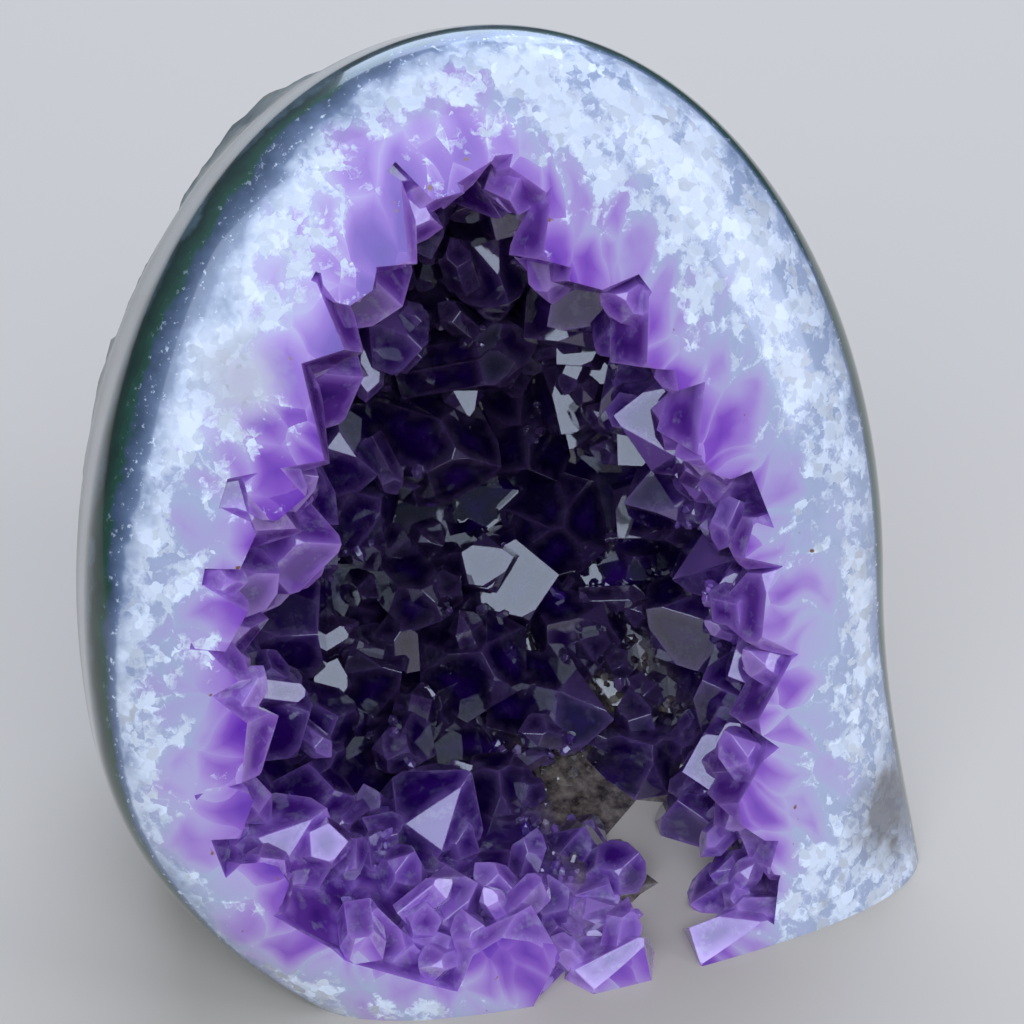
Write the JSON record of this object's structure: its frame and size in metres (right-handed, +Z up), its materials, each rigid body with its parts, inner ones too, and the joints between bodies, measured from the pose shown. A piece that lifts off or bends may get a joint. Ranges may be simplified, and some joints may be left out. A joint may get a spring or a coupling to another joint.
{
  "type": "amethyst geode",
  "caption": "half of a hollow stone nodule that stands on a sawn base, its mouth polished and its inside lined with six-sided purple quartz crystals",
  "frame": {"origin": "on the sawn base, under the middle of the bounding box", "axes": "+Z up; the mouth faces -Y and leans back 22 degrees; +X is to the right for someone who looks into the mouth"},
  "size_m": [0.1078, 0.0948, 0.1108],
  "materials": {
    "stone": "natural stone, polished round the mouth and rough behind",
    "amethyst": "clear purple quartz with flat natural crystal faces, polished flush round the mouth"
  },
  "bodies": {
    "root": {"stone_wall": "stone", "amethyst_crust": "amethyst"}
  },
  "joints": []
}
